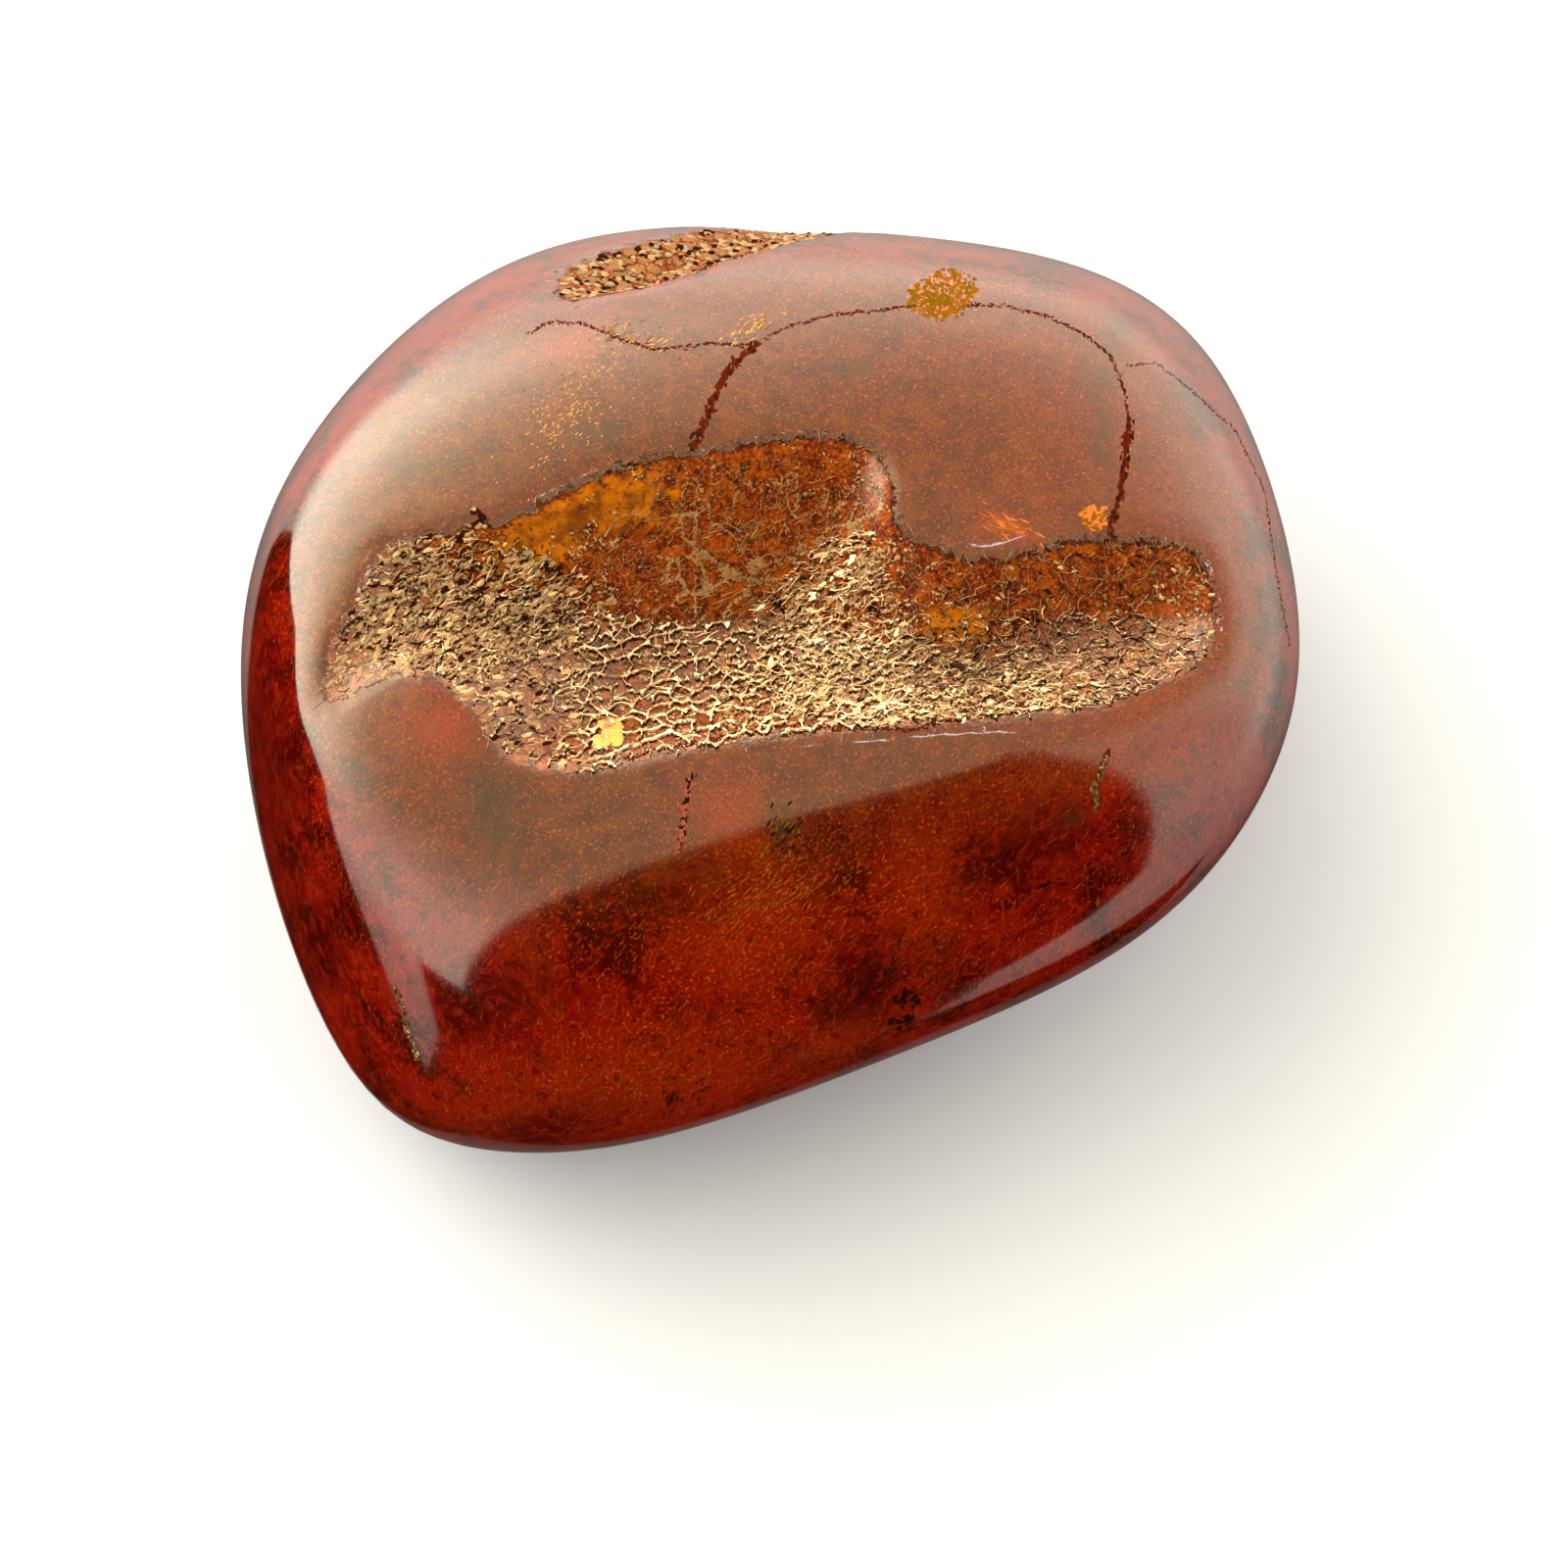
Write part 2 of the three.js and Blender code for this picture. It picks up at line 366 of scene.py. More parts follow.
DEEP_RED = (0.045, 0.0004, 0.0003, 1)
CHERRY = (0.23, 0.0013, 0.0005, 1)
GRAIN_RED = (0.32, 0.010, 0.001, 1)
COGNAC = (0.34, 0.021, 0.001, 1)
STREAK_GOLD = (0.52, 0.080, 0.003, 1)
UMBER = (0.08, 0.010, 0.003, 1)
BROWN_AMBER = (0.16, 0.030, 0.002, 1)
BARK_RED = (0.10, 0.009, 0.002, 1)
BARK_ORANGE = (0.21, 0.037, 0.002, 1)
BARK_OCHRE = (0.24, 0.07, 0.006, 1)
DARK_GOLD = (0.11, 0.026, 0.0015, 1)
GOLD = (0.33, 0.088, 0.001, 1)
CREAM_FILM = (0.42, 0.265, 0.145, 1)
TAN_FILM = (0.20, 0.10, 0.043, 1)
RING_FILM = (0.20, 0.115, 0.05, 1)
SLATE = (0.045, 0.022, 0.01, 1)
# Rim brown is the bark's own dark grain, and also the painted shade beside the lace and along the rim.
RIM_BROWN = (0.03, 0.005, 0.002, 1)

# How wide the patches of each kind of noise are, and where the crown turns redder, from left to right.
CLOUD_SIZE = 4 * MM
DRIFT_SIZE = 1.1 * MM
GRAIN_SIZE = 0.7 * MM
SPECK_SIZE = 0.16 * MM
REDDER_FROM = 4 * MM
REDDER_TO = 22 * MM

amber = bpy.data.materials.new("amber")
amber.use_nodes = True
tree = amber.node_tree
skin = tree.nodes["Principled BSDF"]
place = add_node(tree, "ShaderNodeTexCoord", {}).outputs["Object"]


def attribute(tree, name):
    """The strength that the stone's mesh carries under a name."""
    return add_node(tree, "ShaderNodeAttribute", {}, attribute_name=name).outputs["Fac"]


def wobble(tree, value, texture, reach):
    """A value that is shifted up and down by a texture, at most by a reach."""
    return calculate(tree, "ADD", value, spread(tree, texture, 0.3, 0.7, -reach, reach))


# The polished amber: clouds of deep red and cognac, browner on the crown, with grain, golden streaks and
# bright orange specks that are painted glints.
clouds = mottle(tree, place, CLOUD_SIZE, 6.0)
drifts = mottle(tree, place, DRIFT_SIZE, 6.0)
grain = mottle(tree, place, GRAIN_SIZE)
specks = mottle(tree, place, SPECK_SIZE, 2.0)
# Painted glow: warmer amber in the glow spots.
glow = times(tree, attribute(tree, "glow"), 0.8)
warm = calculate(tree, "MAXIMUM", spread(tree, clouds, 0.5, 0.7, 0.0, 0.6), glow)
deep = attribute(tree, "deep")
glint_and_fibre_share = spread(tree, deep, 0, 1, 1.0, 0.3)
across = add_node(tree, "ShaderNodeSeparateXYZ", {0: place}).outputs["X"]
brown = overlay(
    tree, UMBER,
    (spread(tree, drifts, 0.34, 0.66), BROWN_AMBER),
    (times(tree, glow, 0.9), COGNAC),
    (spread(tree, across, REDDER_FROM, REDDER_TO, 0.0, 0.3), COGNAC),
)
crown = spread(tree, wobble(tree, attribute(tree, "crown"), clouds, 0.06), 0.72, 0.95, 0.0, 0.9)
lively = spread(tree, crown, 0, 0.9, 0.6, 0.2)
upright = streaks(tree, place, turn=(0, -60, 80), width=0.12 * MM, length=1.3 * MM)
slanting = streaks(tree, place, turn=(0, -30, 42), width=0.1 * MM, length=1.1 * MM)
fibres = spread(tree, calculate(tree, "MAXIMUM", upright, slanting), 0.6, 0.76, 0.0, 0.6)
colour = overlay(
    tree, DEEP_RED,
    (spread(tree, clouds, 0.38, 0.54), CHERRY),
    (warm, COGNAC),
    (times(tree, deep, 0.75), DEEP_RED),
    (crown, brown),
    (times(tree, spread(tree, grain, 0.52, 0.68), lively), GRAIN_RED),
    (times(tree, spread(tree, grain, 0.45, 0.33), lively), DEEP_RED),
    # Bright orange specks: painted glints, fewer in the deep spots.
    (times(tree, spread(tree, specks, 0.6, 0.7, 0.0, 0.75), glint_and_fibre_share), STREAK_GOLD),
    (spread(tree, specks, 0.46, 0.34, 0.0, 0.5), DEEP_RED),
    (times(tree, fibres, glint_and_fibre_share), STREAK_GOLD),
    (times(tree, attribute(tree, "dark"), spread(tree, grain, 0.35, 0.6, 0.25, 0.95)), SLATE),
)

# The natural skin: red-brown and orange, golden in places, with the lace of crust and painted shade beside
# it.
natural = attribute(tree, "natural")
glaze = attribute(tree, "glaze")
crusted = attribute(tree, "lace")
soft = attribute(tree, "ring")
ragged = wobble(tree, natural, grain, 0.38)
bare = spread(tree, ragged, 0.4, 0.54)
# Painted glow: gold in the bark where light shines through the thin back wall.
golden = wobble(tree, attribute(tree, "golden"), grain, 0.3)
gilt = blend_colours(tree, spread(tree, drifts, 0.35, 0.65), DARK_GOLD, GOLD)
# Painted shade: a dark rim round the walls of the lace, faint in the soft rings and on the ledge.
lace_shade = times(tree, spread(tree, crusted, 0.06, 0.36, 0.0, 0.9), spread(tree, soft, 0, 1, 1.0, 0.1))
lace = wobble(tree, crusted, specks, 0.35)
covered = times(tree, spread(tree, lace, 0.42, 0.62), spread(tree, soft, 0, 1, 0.95, 0.55))
film = overlay(
    tree, TAN_FILM,
    (spread(tree, specks, 0.42, 0.6), CREAM_FILM),
    (times(tree, soft, 0.9), RING_FILM),
)
bark = overlay(
    tree, BARK_RED,
    (spread(tree, drifts, 0.38, 0.64), BARK_ORANGE),
    (spread(tree, grain, 0.52, 0.36, 0.0, 0.8), RIM_BROWN),
    (spread(tree, specks, 0.5, 0.66, 0.0, 0.7), BARK_OCHRE),
    (spread(tree, specks, 0.46, 0.32, 0.0, 0.7), RIM_BROWN),
    (spread(tree, golden, 0.25, 0.7), gilt),
    (lace_shade, RIM_BROWN),
    (covered, film),
)
# Painted shade: a dark line along the edge of the natural skin, fainter where it is glazed or crusted.
rim_shade = times(tree, spread(tree, ragged, 0.3, 0.46), spread(tree, natural, 0.9, 0.5))
rim_shade = times(tree, rim_shade, spread(tree, glaze, 0, 1, 0.8, 0.25))
rim_shade = times(tree, rim_shade, spread(tree, crusted, 0, 1, 1.0, 0.15))
colour = overlay(tree, colour, (bare, bark), (rim_shade, RIM_BROWN))
tree.links.new(colour, skin.inputs["Base Color"])

POLISH_ROUGHNESS = 0.09
NATURAL_ROUGHNESS = 0.35
POLISH_TRANSMISSION = 0.55
POLISH_SHINE = 0.5
NATURAL_SHINE = 0.03
AMBER_IOR = 1.54
RELIEF_DEPTH = 0.12 * MM
ABSORBED_TINT = (0.9, 0.42, 0.02, 1)
ABSORPTION_DENSITY = 420.0
matt = times(tree, bare, spread(tree, glaze, 0, 1, 1.0, 0.0))
matt = calculate(tree, "MAXIMUM", matt, times(tree, bare, spread(tree, lace, 0.4, 0.6)))
tree.links.new(spread(tree, bare, 0, 1, POLISH_ROUGHNESS, NATURAL_ROUGHNESS), skin.inputs["Roughness"])
tree.links.new(spread(tree, bare, 0, 1, POLISH_TRANSMISSION, 0.0), skin.inputs["Transmission Weight"])
tree.links.new(spread(tree, matt, 0, 1, POLISH_SHINE, NATURAL_SHINE), skin.inputs["Specular IOR Level"])
skin.inputs["IOR"].default_value = AMBER_IOR
bumps = times(tree, calculate(tree, "ADD", grain, times(tree, specks, 0.4)), bare)
relief = add_node(tree, "ShaderNodeBump", {"Height": bumps, "Strength": 1.0, "Distance": RELIEF_DEPTH})
tree.links.new(relief.outputs["Normal"], skin.inputs["Normal"])
depth = {"Color": ABSORBED_TINT, "Density": ABSORPTION_DENSITY}
absorption = add_node(tree, "ShaderNodeVolumeAbsorption", depth)
tree.links.new(absorption.outputs["Volume"], tree.nodes["Material Output"].inputs["Volume"])
stone.data.materials.clear()
stone.data.materials.append(amber)

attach(stone, "root")
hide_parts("stone")

# The crust in the hollow: a thin, brittle net of cream and tan weathered resin that dried on the amber
# there. Each wall of the net is a low rib, laid on the stone and thickest where it meets others, with
# flakes lying between. In some nets a dark ribbon of painted shadow lies beside each wall.
stone_tree = BVHTree.FromPolygons([vertex.co for vertex in stone.data.vertices],
                                  [face.vertices for face in stone.data.polygons])


def on_stone(pixel):
    """The place on the stone that the camera sees at a pixel, and the way the skin faces there."""
    place, normal, _, _ = stone_tree.ray_cast(camera_place, ray_through(pixel))
    return (place, normal) if place else None


def lay(pixels):
    """A line of pixels laid on the stone, or nothing if part of it misses."""
    line = [on_stone(pixel) for pixel in pixels]
    return line if all(line) else None


def new_shape(seed):
    """An empty shape with its own seeded dice, to which ribs, ribbons and flakes are added."""
    return {"points": [], "faces": [], "shades": [], "dice": random.Random(seed)}


def add_rows(shape, rows, shades):
    """Joins rows of points, which all have the same length, with faces that take the shades in turn."""
    start = len(shape["points"])
    width = len(rows[0])
    for row in rows:
        shape["points"].extend(row)
    for i in range(len(rows) - 1):
        for j in range(width - 1):
            corner = start + i * width + j
            shape["faces"].append((corner, corner + 1, corner + width + 1, corner + width))
            shape["shades"].append(shades[i % len(shades)])


def sides_of(line):
    """The sideways direction at each place of a line that is laid on the stone."""
    sides = []
    for i, (_, normal) in enumerate(line):
        ahead = line[min(i + 1, len(line) - 1)][0] - line[max(i - 1, 0)][0]
        sides.append(ahead.cross(normal).normalized())
    return sides


RIB_SINK = 0.03 * MM


def add_rib(shape, line, widths, height, shades):
    """A low rib along a line, with its two feet in the stone."""
    rows = []
    for (place, normal), side, width in zip(line, sides_of(line), widths):
        foot = place - normal * RIB_SINK
        rows.append((foot - side * width / 2, place + normal * height, foot + side * width / 2))
    add_rows(shape, rows, shades)


def add_ribbon(shape, line, widths, lift, shade):
    """A flat ribbon along a line, just on the stone."""
    rows = []
    for (place, normal), side, width in zip(line, sides_of(line), widths):
        middle = place + normal * lift
        rows.append((middle - side * width / 2, middle + side * width / 2))
    add_rows(shape, rows, [shade])


CAP_EDGE = 0.4
CAP_SINK = 0.01 * MM


def add_cap(shape, middle, rim, height, shade):
    """A low cap over a ring of places on the stone: its middle is raised and its edge lies in the stone."""
    start = len(shape["points"])
    shape["points"].append(middle[0] + middle[1] * height)
    shape["points"].extend(place + normal * (height * CAP_EDGE - CAP_SINK) for place, normal in rim)
    for i in range(len(rim)):
        shape["faces"].append((start, start + 1 + (i + 1) % len(rim), start + 1 + i))
        shape["shades"].append(shade)


def uneven_ring(corners, radius, dice):
    """The corners of an uneven ring, as steps along and across it."""
    for i in range(corners):
        angle = 2 * math.pi * (i + dice.uniform(-0.3, 0.3)) / corners
        reach = radius * dice.uniform(0.6, 1.25)
        yield reach * math.cos(angle), reach * math.sin(angle)


def turned(along, across, lean):
    """A step along and across a lean in degrees, as pixels to the right and down."""
    turn = math.radians(lean)
    right = along * math.cos(turn) + across * math.sin(turn)
    down = across * math.cos(turn) - along * math.sin(turn)
    return right, down


def add_flake(shape, pixel, radius, height, shade, stretch=1.0, lean=0.0):
    """A small flake with a raised middle and an uneven edge: radius in pixels, lean in degrees."""
    dice = shape["dice"]
    rim = []
    for along, across in uneven_ring(dice.randint(5, 8), radius, dice):
        right, down = turned(along * stretch, across, lean)
        rim.append(on_stone((pixel[0] + right, pixel[1] + down)))
    middle = on_stone(pixel)
    if middle and all(rim):
        add_cap(shape, middle, rim, height, shade)


def plain_material(name, colour, roughness, shine=0.5):
    """A material whose values are the same all over."""
    material = bpy.data.materials.new(name)
    material.use_nodes = True
    shader = material.node_tree.nodes["Principled BSDF"]
    shader.inputs["Base Color"].default_value = (*colour, 1)
    shader.inputs["Roughness"].default_value = roughness
    shader.inputs["Specular IOR Level"].default_value = shine
    shader.inputs["IOR"].default_value = AMBER_IOR
    return material


def make_piece(name, shape, materials):
    """Makes a shape into one piece that rides on the stone's body."""
    mesh = bpy.data.meshes.new(name)
    mesh.from_pydata(shape["points"], [], shape["faces"])
    for material in materials:
        mesh.materials.append(material)
    mesh.polygons.foreach_set("material_index", shape["shades"])
    mesh.polygons.foreach_set("use_smooth", [True] * len(shape["faces"]))
    piece = bpy.data.objects.new(name, mesh)
    bpy.context.scene.collection.objects.link(piece)
    keep_in_box(piece)
    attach(piece, "root")


def inside(outline, pixel):
    """Whether a pixel lies inside an outline."""
    x, y = pixel
    crossings = 0
    for (ax, ay), (bx, by) in zip(outline, outline[1:] + outline[:1]):
        if (ay > y) != (by > y) and x < ax + (bx - ax) * (y - ay) / (by - ay):
            crossings += 1
    return crossings % 2 == 1


def middle_of_circle(a, b, c):
    """The middle of the circle through three points of the picture."""
    ab = b - a
    ac = c - a
    area = 2 * ab.cross(ac)
    right = (ac.y * ab.length_squared - ab.y * ac.length_squared) / area
    down = (ab.x * ac.length_squared - ac.x * ab.length_squared) / area
    return a + Vector((right, down))


SEED_JITTER = 0.45
SEED_GAPS = 0.12
SEED_EXTRAS = 0.2


def cell_walls(outline, cell, flatness, lean, dice):
    """The walls of a net of uneven cells that fills an outline, as pairs of pixels. A cell is so many pixels
    wide along its lean, and flatter across it."""
    turn = math.radians(lean)
    along = Vector((math.cos(turn), -math.sin(turn))) * cell
    across = Vector((math.sin(turn), math.cos(turn))) * cell * flatness
    corners = [Vector(corner) for corner in outline]
    columns = [corner.dot(along) / along.length_squared for corner in corners]
    rows = [corner.dot(across) / across.length_squared for corner in corners]
    seeds = []
    for row in range(math.floor(min(rows)) - 2, math.ceil(max(rows)) + 3):
        for column in range(math.floor(min(columns)) - 2, math.ceil(max(columns)) + 3):
            chance = dice.random()
            for _ in range(0 if chance < SEED_GAPS else 2 if chance > 1 - SEED_EXTRAS else 1):
                seeds.append(Vector((column + 0.5 * (row % 2) + dice.uniform(-SEED_JITTER, SEED_JITTER),
                                     row + dice.uniform(-SEED_JITTER, SEED_JITTER))))
    points, _, triangles, _, _, _ = delaunay_2d_cdt(seeds, [], [], 0, 1e-6)
    walls = []
    waiting = {}
    for triangle in triangles:
        node = middle_of_circle(*(points[corner] for corner in triangle))
        pixel = along * node.x + across * node.y
        for side in itertools.combinations(sorted(triangle), 2):
            if side in waiting:
                walls.append((waiting.pop(side), pixel))
            else:
                waiting[side] = pixel
    return [wall for wall in walls if inside(outline, (wall[0] + wall[1]) / 2)]


def on_natural_skin(line):
    """Whether a laid line lies on natural skin from end to end."""
    return all(natural_share(place) > 0.35 for place, _ in line)


WALL_STEPS = 6
LONGEST_WALL = 2.2
BROKEN_WALLS = 0.3
# The painted shadow beside each wall of a net: its drop in pixels, its width beside the wall's, its lift.
PAINTED_SHADOW_DROP = Vector((0.8, 3.0))
PAINTED_SHADOW_WIDTH = 1.2
PAINTED_SHADOW_LIFT = 0.012 * MM


def add_net(shape, outline, cell, flatness, lean, width, height, shades, kept, has_painted_shadow=False):
    """A net of ribs in an outline, with their width and height in millimetres. A share of its walls is kept,
    and some are broken off. If it has painted shadows, a dark ribbon of painted shadow runs along the
    near side of each wall."""
    dice = shape["dice"]
    for start, end in cell_walls(outline, cell, flatness, lean, dice):
        if (end - start).length > LONGEST_WALL * cell or dice.random() > kept:
            continue
        if dice.random() < BROKEN_WALLS:
            end = start.lerp(end, dice.uniform(0.4, 0.7))
        bulge = (end - start).orthogonal() * dice.uniform(-0.2, 0.2)
        steps = [step / WALL_STEPS for step in range(WALL_STEPS + 1)]
        pixels = [start.lerp(end, step) + bulge * math.sin(math.pi * step) for step in steps]
        pixels[1:-1] = [pixel + Vector((dice.gauss(0, 0.5), dice.gauss(0, 0.5))) for pixel in pixels[1:-1]]
        line = lay(pixels)
        if not line or not on_natural_skin(line):
            continue
        thick = width * MM * dice.uniform(0.4, 1.4)
        widths = [thick * (0.5 + 1.6 * (2 * step - 1) ** 4) * dice.uniform(0.5, 1.5) for step in steps]
        high = height * MM * dice.uniform(0.7, 1.3)
        add_rib(shape, line, widths, high, dice.choices(shades, k=WALL_STEPS))
        # A dark brown ribbon just below the wall in the picture: painted shadow.
        painted_shadow = lay([pixel + PAINTED_SHADOW_DROP for pixel in pixels]) if has_painted_shadow else None
        if painted_shadow:
            add_ribbon(shape, painted_shadow, [wide * PAINTED_SHADOW_WIDTH for wide in widths], PAINTED_SHADOW_LIFT, BROWN)


def strewn(outline, count, dice):
    """Of a number of pixels picked by chance round an outline, the ones that lie inside it."""
    xs = [corner[0] for corner in outline]
    ys = [corner[1] for corner in outline]
    for _ in range(count):
        pixel = (dice.uniform(min(xs), max(xs)), dice.uniform(min(ys), max(ys)))
        if inside(outline, pixel):
            yield pixel


STROKE_SPREAD = 25
STROKE_WIDTHS = [0.3, 0.9, 1.0, 0.9, 0.3]


def add_strokes(shape, outline, count, length, lean, width, height, shades):
    """Short loose fibres of crust in an outline: length in pixels, width and height in millimetres."""
    dice = shape["dice"]
    for pixel in strewn(outline, count, dice):
        middle = Vector(pixel)
        turn = math.radians(lean + dice.gauss(0, STROKE_SPREAD))
        half = Vector((math.cos(turn), -math.sin(turn))) * length * dice.uniform(0.3, 0.9) / 2
        bend = half.orthogonal() * dice.uniform(-0.5, 0.5)
        line = lay([middle - half, middle - half / 2 + bend * 0.7, middle + bend,
                    middle + half / 2 + bend * 0.7, middle + half])
        if not line or not on_natural_skin(line):
            continue
        thick = width * MM * dice.uniform(0.5, 1.2)
        add_rib(shape, line, [thick * share for share in STROKE_WIDTHS], height * MM, [dice.choice(shades)])


FLAKE_SPREAD = 20


def add_flakes(shape, outline, count, radius, lean, stretch, height, shades):
    """Flakes of crust strewn in an outline: radius in pixels, height in millimetres."""
    dice = shape["dice"]
    for pixel in strewn(outline, count, dice):
        seat = on_stone(pixel)
        if seat and natural_share(seat[0]) > 0.5:
            size = radius * dice.uniform(0.5, 1.3)
            shade = dice.choice(shades)
            turn = lean + dice.gauss(0, FLAKE_SPREAD)
            add_flake(shape, pixel, size, height * MM, shade, stretch, turn)


PALE_CREAM, CREAM, TAN, GREY_TAN, BROWN, BLACK, LUMP_GOLD = range(7)
crust_materials = [
    plain_material("pale_cream_crust", (0.90, 0.66, 0.45), 0.75, 0.2),
    plain_material("cream_crust", (0.50, 0.30, 0.17), 0.75, 0.2),
    plain_material("tan_crust", (0.27, 0.145, 0.067), 0.75, 0.3),
    plain_material("grey_tan_crust", (0.21, 0.14, 0.085), 0.75, 0.3),
    # Brown is also the colour of the painted shadows beside the walls and in the left arm.
    plain_material("brown_crust_and_shadow", (0.018, 0.004, 0.0015), 0.9, 0.0),
    plain_material("black_pit_shade", (0.005, 0.003, 0.002), 0.9, 0.0),
    plain_material("gold_crust", (0.42, 0.26, 0.05), 0.6, 0.4),
]
crust = new_shape(11)
crust_dice = crust["dice"]

# The outlines of the hollow's parts in the photograph.
FRONT_NET = [(590, 620), (650, 632), (760, 640), (840, 640), (930, 660), (940, 760), (800, 760), (680, 790),
             (610, 790), (580, 700)]
FRONT_LEFT = [(470, 600), (560, 600), (600, 625), (590, 700), (620, 800), (560, 800), (490, 740),
              (455, 680)]
DRIFT = [(770, 620), (830, 555), (890, 540), (915, 620), (935, 660), (1060, 690), (1090, 745), (900, 760),
         (780, 715)]
RINGS = [(600, 560), (680, 470), (800, 470), (890, 500), (905, 610), (800, 645), (660, 645), (590, 620)]
LEFT_ARM = [(345, 650), (360, 560), (440, 530), (520, 555), (610, 590), (570, 660), (480, 690), (420, 680)]
LEFT_TAIL = [(300, 770), (325, 690), (345, 645), (430, 660), (430, 690), (350, 740)]
RIGHT_ARM = [(905, 560), (1000, 570), (1100, 540), (1250, 560), (1255, 660), (1200, 710), (1060, 750),
             (930, 750)]
RIGHT_LIP = [(920, 650), (1060, 620), (1240, 640), (1240, 690), (1100, 750), (930, 755)]

# The layers of crust in these parts, in the order in which they lie. After its outline a net has its cells'
# width in pixels, flatness and lean, its ribs' width and height, its shades, the share of walls that are
# kept, and whether its walls get painted shadows. Strokes have their number, length, lean, width, height
# and shades, and flakes their number, radius, lean, stretch, height and shades.
CRUST_LAYERS = [
    # The front wall and floor: the clearest cells, flattened towards the lip. Their left end is worn.
    (add_net, FRONT_NET, 21, 0.58, 15, 0.15, 0.09, [PALE_CREAM, PALE_CREAM, CREAM], 0.93, True),
    (add_net, FRONT_NET, 11, 0.5, 15, 0.07, 0.05, [PALE_CREAM, CREAM, TAN, BROWN], 0.12, True),
    (add_strokes, FRONT_NET, 240, 28, 16, 0.05, 0.06, [PALE_CREAM, CREAM, TAN, BROWN]),
    (add_net, FRONT_LEFT, 20, 0.5, 20, 0.11, 0.07, [PALE_CREAM, CREAM, TAN], 0.5, True),
    (add_strokes, FRONT_LEFT, 420, 22, 24, 0.06, 0.06, [CREAM, CREAM, TAN, BROWN]),
    (add_flakes, FRONT_LEFT, 160, 2.4, 20, 2.4, 0.05, [CREAM, TAN, BROWN]),
    # The dense drift of cream fibres right of the middle.
    (add_net, DRIFT, 16, 0.5, 24, 0.09, 0.06, [PALE_CREAM, PALE_CREAM, CREAM], 0.6, True),
    (add_strokes, DRIFT, 900, 24, 24, 0.06, 0.06, [PALE_CREAM, CREAM, CREAM]),
    (add_strokes, DRIFT, 780, 14, 24, 0.12, 0.05, [BROWN, BROWN, TAN]),
    (add_flakes, DRIFT, 300, 2.2, 24, 2.4, 0.07, [PALE_CREAM, CREAM, BROWN, BROWN]),
    # The back wall: wide soft rings of greyer crust.
    (add_net, RINGS, 40, 0.85, 10, 0.08, 0.04, [GREY_TAN, GREY_TAN, TAN], 0.3),
    (add_net, RINGS, 13, 0.9, 10, 0.05, 0.04, [GREY_TAN, TAN, BROWN, BROWN], 0.3),
    (add_strokes, RINGS, 700, 16, 40, 0.035, 0.05, [CREAM, TAN, GREY_TAN, BROWN]),
    # The left arm: a small, muddled net of tan crust, worn thin at its tail.
    (add_net, LEFT_ARM, 16, 0.5, 30, 0.10, 0.07, [CREAM, TAN, GREY_TAN], 0.45, True),
    (add_strokes, LEFT_ARM, 400, 22, 32, 0.08, 0.07, [PALE_CREAM, CREAM, TAN]),
    # Wide dark brown strokes: painted shadows between the tan flecks.
    (add_strokes, LEFT_ARM, 260, 18, 36, 0.12, 0.07, [BROWN]),
    (add_flakes, LEFT_ARM, 600, 2.4, 32, 2.2, 0.06, [CREAM, TAN, TAN, GREY_TAN, BROWN, BROWN]),
    (add_strokes, LEFT_TAIL, 260, 20, 40, 0.06, 0.05, [CREAM, TAN, GREY_TAN, BROWN]),
    (add_flakes, LEFT_TAIL, 120, 2.4, 40, 2.4, 0.05, [TAN, GREY_TAN]),
    # The right arm: loose dashes of cream, denser towards the lip.
    (add_strokes, RIGHT_ARM, 800, 18, -40, 0.035, 0.06, [CREAM, TAN, TAN, BROWN, BROWN]),
    (add_strokes, RIGHT_ARM, 400, 24, 50, 0.03, 0.06, [CREAM, TAN]),
    (add_strokes, RIGHT_LIP, 420, 20, 8, 0.06, 0.06, [PALE_CREAM, CREAM, TAN]),
    (add_strokes, RIGHT_LIP, 640, 14, 4, 0.12, 0.06, [BROWN]),
    (add_net, RIGHT_LIP, 20, 0.6, -6, 0.07, 0.06, [PALE_CREAM, CREAM, TAN], 0.45, True),
    (add_flakes, RIGHT_ARM, 160, 1.5, -35, 2.2, 0.05, [CREAM, TAN, BROWN]),
]
for add_layer, *values in CRUST_LAYERS:
    add_layer(crust, *values)

# The rim: splinters of dark skin and hair-fine tan fibres that stand across the edge of the polish.
RIM_BOX = (310, 430, 1260, 810)
RIM_TRIES = 9000
RIM_FROM = 0.02
RIM_TO = 0.8
HAIR_SHARE = 0.3
HAIR_REACH = 10
SPLINTER_REACH = 5
HAIR_WIDTH = 0.04
SPLINTER_WIDTH = 0.08
RIM_HEIGHT = 0.05 * MM
for _ in range(RIM_TRIES):
    pixel = Vector((crust_dice.uniform(RIM_BOX[0], RIM_BOX[2]), crust_dice.uniform(RIM_BOX[1], RIM_BOX[3])))
    seat = on_stone(pixel)
    if not seat or not RIM_FROM < natural_share(seat[0]) < RIM_TO:
        continue
    hair = crust_dice.random() < HAIR_SHARE
    if not hair and glaze_strength(pixel) > 0.5:
        continue
    turn = crust_dice.uniform(0, math.pi)
    reach = HAIR_REACH if hair else SPLINTER_REACH
    half = Vector((math.cos(turn), math.sin(turn))) * crust_dice.uniform(2, reach)
    bend = half.orthogonal() * crust_dice.uniform(-0.5, 0.5)
    line = lay([pixel - half, pixel + bend, pixel + half])
    if line:
        thick = crust_dice.uniform(0.02, HAIR_WIDTH if hair else SPLINTER_WIDTH) * MM
        shade = crust_dice.choice([CREAM, TAN]) if hair else BROWN
        add_rib(crust, line, [thick * 0.4, thick, thick * 0.4], RIM_HEIGHT, [shade])

